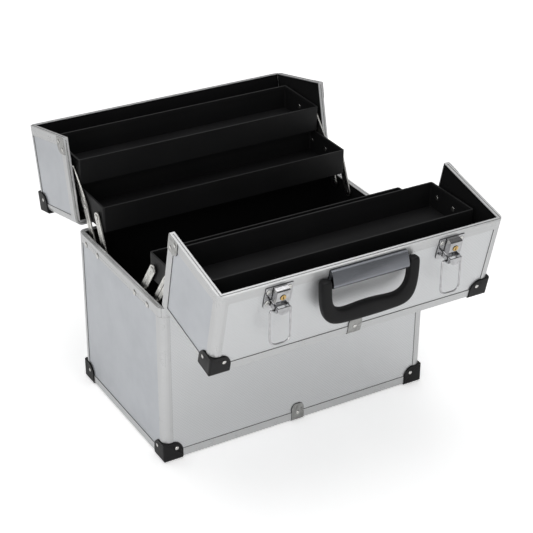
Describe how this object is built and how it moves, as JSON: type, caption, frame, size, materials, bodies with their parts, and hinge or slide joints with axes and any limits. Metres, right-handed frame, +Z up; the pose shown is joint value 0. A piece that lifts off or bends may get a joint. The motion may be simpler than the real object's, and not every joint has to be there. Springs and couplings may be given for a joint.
{
  "type": "cantilever tool box",
  "caption": "Aluminium-framed tool case whose top opens as two lids, with trays that swing out on parallel steel arms, a carrying handle and toggle latches.",
  "frame": {"origin": "middle of the base's outline at floor level, under the corner protectors", "axes": "+X along the case, +Y to the rear, +Z up; the handle and latches face -Y"},
  "size_m": [0.4088, 0.5701, 0.3544],
  "materials": {
    "panel_dotted": "silver faced board with a fine raised diamond pattern",
    "panel_plain": "smooth silver faced board",
    "profile_aluminium": "satin anodised aluminium extrusion",
    "lining_black": "thin black lining",
    "protector_black": "black moulded plastic",
    "steel_plated": "nickel plated steel",
    "rivet_steel": "zinc plated steel",
    "arm_steel": "zinc plated steel strip",
    "tray_black": "black stoved paint on sheet steel",
    "handle_plastic": "satin black plastic",
    "mount_grey": "silver grey painted metal",
    "lock_brass": "brass"
  },
  "bodies": {
    "base": {"base_bottom_panel": "panel_dotted", "base_front_panel": "panel_dotted", "base_rear_panel": "panel_dotted", "base_left_panel": "panel_plain", "base_right_panel": "panel_plain", "base_corner_profiles": "profile_aluminium", "base_bottom_profiles": "profile_aluminium", "base_rim_profiles": "profile_aluminium", "base_lining": "lining_black", "base_corner_protectors": "protector_black", "base_edge_clips": "steel_plated", "base_rivets": "rivet_steel", "base_hinge_leaves": "steel_plated", "hinge_pins": "rivet_steel", "arm_base_rivets": "rivet_steel"},
    "front_lid": {"front_lid_top_panel": "panel_dotted", "front_lid_outer_panel": "panel_dotted", "front_lid_end_panels": "panel_plain", "front_lid_edge_profiles": "profile_aluminium", "front_lid_rim_profiles": "profile_aluminium", "front_lid_lining": "lining_black", "front_lid_corner_protectors": "protector_black", "front_lid_steel_clips": "steel_plated", "front_lid_rivets": "rivet_steel", "front_lid_hinge_leaves": "steel_plated", "handle_mount": "mount_grey", "handle_pins": "rivet_steel", "latch_plates": "steel_plated"},
    "rear_lid": {"rear_lid_top_panel": "panel_dotted", "rear_lid_outer_panel": "panel_dotted", "rear_lid_end_panels": "panel_plain", "rear_lid_edge_profiles": "profile_aluminium", "rear_lid_rim_profiles": "profile_aluminium", "rear_lid_lining": "lining_black", "rear_lid_corner_protectors": "protector_black", "rear_lid_steel_clips": "steel_plated", "rear_lid_rivets": "rivet_steel", "rear_lid_hinge_leaves": "steel_plated", "latch_keepers": "steel_plated"},
    "handle": {"handle_grip": "handle_plastic"},
    "left_lever": {"left_latch_lever": "steel_plated"},
    "right_lever": {"right_latch_lever": "steel_plated"},
    "left_bail": {"left_latch_bail": "steel_plated"},
    "right_bail": {"right_latch_bail": "steel_plated"},
    "left_lock": {"left_lock_cylinder": "lock_brass"},
    "right_lock": {"right_lock_cylinder": "lock_brass"},
    "front_long_arm_pair": {"front_long_arms": "arm_steel"},
    "front_short_arm_pair": {"front_short_arms": "arm_steel"},
    "front_upper_arm_pair": {"front_upper_arms": "arm_steel"},
    "rear_long_arm_pair": {"rear_long_arms": "arm_steel"},
    "rear_short_arm_pair": {"rear_short_arms": "arm_steel"},
    "rear_upper_arm_pair": {"rear_upper_arms": "arm_steel"},
    "front_lower_tray_body": {"front_lower_tray": "tray_black", "front_lower_tray_rivets": "rivet_steel"},
    "front_upper_tray_body": {"front_upper_tray": "tray_black", "front_upper_tray_rivets": "rivet_steel"},
    "rear_lower_tray_body": {"rear_lower_tray": "tray_black", "rear_lower_tray_rivets": "rivet_steel"},
    "rear_upper_tray_body": {"rear_upper_tray": "tray_black", "rear_upper_tray_rivets": "rivet_steel"}
  },
  "joints": [
    {"name": "front_lid_hinge", "type": "hinge", "parent": "base", "child": "front_lid", "pos_m": [0, -0.1259, 0.23225], "axis": [-1, 0, 0], "range_deg": [0, 103]},
    {"name": "front_long_arm_pivot", "type": "hinge", "parent": "base", "child": "front_long_arm_pair", "pos_m": [0, -0.086, 0.2215], "axis": [-1, 0, 0], "range_deg": [0, 69.01]},
    {"name": "front_short_arm_pivot", "type": "hinge", "parent": "base", "child": "front_short_arm_pair", "pos_m": [0, -0.05, 0.2215], "axis": [-1, 0, 0], "range_deg": [0, 69.01]},
    {"name": "front_lower_tray_pivot", "type": "hinge", "parent": "front_long_arm_pair", "child": "front_lower_tray_body", "pos_m": [0, -0.118, 0.267], "axis": [1, 0, 0], "range_deg": [0, 69.01]},
    {"name": "front_upper_tray_pivot", "type": "hinge", "parent": "front_long_arm_pair", "child": "front_upper_tray_body", "pos_m": [0, -0.155, 0.306], "axis": [1, 0, 0], "range_deg": [0, 69.01]},
    {"name": "front_upper_arm_pivot", "type": "hinge", "parent": "front_lower_tray_body", "child": "front_upper_arm_pair", "pos_m": [0, -0.154, 0.267], "axis": [-1, 0, 0], "range_deg": [0, 69.01]},
    {"name": "rear_lid_hinge", "type": "hinge", "parent": "base", "child": "rear_lid", "pos_m": [0, 0.1259, 0.23225], "axis": [1, 0, 0], "range_deg": [0, 103]},
    {"name": "rear_long_arm_pivot", "type": "hinge", "parent": "base", "child": "rear_long_arm_pair", "pos_m": [0, 0.097, 0.2215], "axis": [1, 0, 0], "range_deg": [0, 74.01]},
    {"name": "rear_short_arm_pivot", "type": "hinge", "parent": "base", "child": "rear_short_arm_pair", "pos_m": [0, 0.061, 0.2215], "axis": [1, 0, 0], "range_deg": [0, 74.01]},
    {"name": "rear_lower_tray_pivot", "type": "hinge", "parent": "rear_long_arm_pair", "child": "rear_lower_tray_body", "pos_m": [0, 0.118, 0.267], "axis": [-1, 0, 0], "range_deg": [0, 74.01]},
    {"name": "rear_upper_tray_pivot", "type": "hinge", "parent": "rear_long_arm_pair", "child": "rear_upper_tray_body", "pos_m": [0, 0.155, 0.306], "axis": [-1, 0, 0], "range_deg": [0, 74.01]},
    {"name": "rear_upper_arm_pivot", "type": "hinge", "parent": "rear_lower_tray_body", "child": "rear_upper_arm_pair", "pos_m": [0, 0.154, 0.267], "axis": [1, 0, 0], "range_deg": [0, 74.01]},
    {"name": "handle_hinge", "type": "hinge", "parent": "front_lid", "child": "handle", "pos_m": [0, -0.28064, 0.30572], "axis": [-1, 0, 0], "range_deg": [-13, 77]},
    {"name": "left_lever_hinge", "type": "hinge", "parent": "front_lid", "child": "left_lever", "pos_m": [-0.1225, -0.27822, 0.29612], "axis": [1, 0, 0], "range_deg": [0, 18]},
    {"name": "left_bail_hinge", "type": "hinge", "parent": "left_lever", "child": "left_bail", "pos_m": [-0.1225, -0.27836, 0.29137], "axis": [-1, 0, 0], "range_deg": [-2, 165]},
    {"name": "left_lock_turn", "type": "hinge", "parent": "front_lid", "child": "left_lock", "pos_m": [-0.1225, -0.27971, 0.31056], "axis": [0, -0.9744, -0.225], "range_deg": [0, 90]},
    {"name": "right_lever_hinge", "type": "hinge", "parent": "front_lid", "child": "right_lever", "pos_m": [0.1225, -0.27822, 0.29612], "axis": [1, 0, 0], "range_deg": [0, 18]},
    {"name": "right_bail_hinge", "type": "hinge", "parent": "right_lever", "child": "right_bail", "pos_m": [0.1225, -0.27836, 0.29137], "axis": [-1, 0, 0], "range_deg": [-2, 165]},
    {"name": "right_lock_turn", "type": "hinge", "parent": "front_lid", "child": "right_lock", "pos_m": [0.1225, -0.27971, 0.31056], "axis": [0, -0.9744, -0.225], "range_deg": [0, 90]}
  ],
  "couplings": [
    {"joint": "front_long_arm_pivot", "follows": "front_lid_hinge", "ratio": 0.6699},
    {"joint": "front_short_arm_pivot", "follows": "front_lid_hinge", "ratio": 0.6699},
    {"joint": "front_lower_tray_pivot", "follows": "front_lid_hinge", "ratio": 0.6699},
    {"joint": "front_upper_tray_pivot", "follows": "front_lid_hinge", "ratio": 0.6699},
    {"joint": "front_upper_arm_pivot", "follows": "front_lid_hinge", "ratio": 0.6699},
    {"joint": "rear_long_arm_pivot", "follows": "rear_lid_hinge", "ratio": 0.71845},
    {"joint": "rear_short_arm_pivot", "follows": "rear_lid_hinge", "ratio": 0.71845},
    {"joint": "rear_lower_tray_pivot", "follows": "rear_lid_hinge", "ratio": 0.71845},
    {"joint": "rear_upper_tray_pivot", "follows": "rear_lid_hinge", "ratio": 0.71845},
    {"joint": "rear_upper_arm_pivot", "follows": "rear_lid_hinge", "ratio": 0.71845}
  ]
}
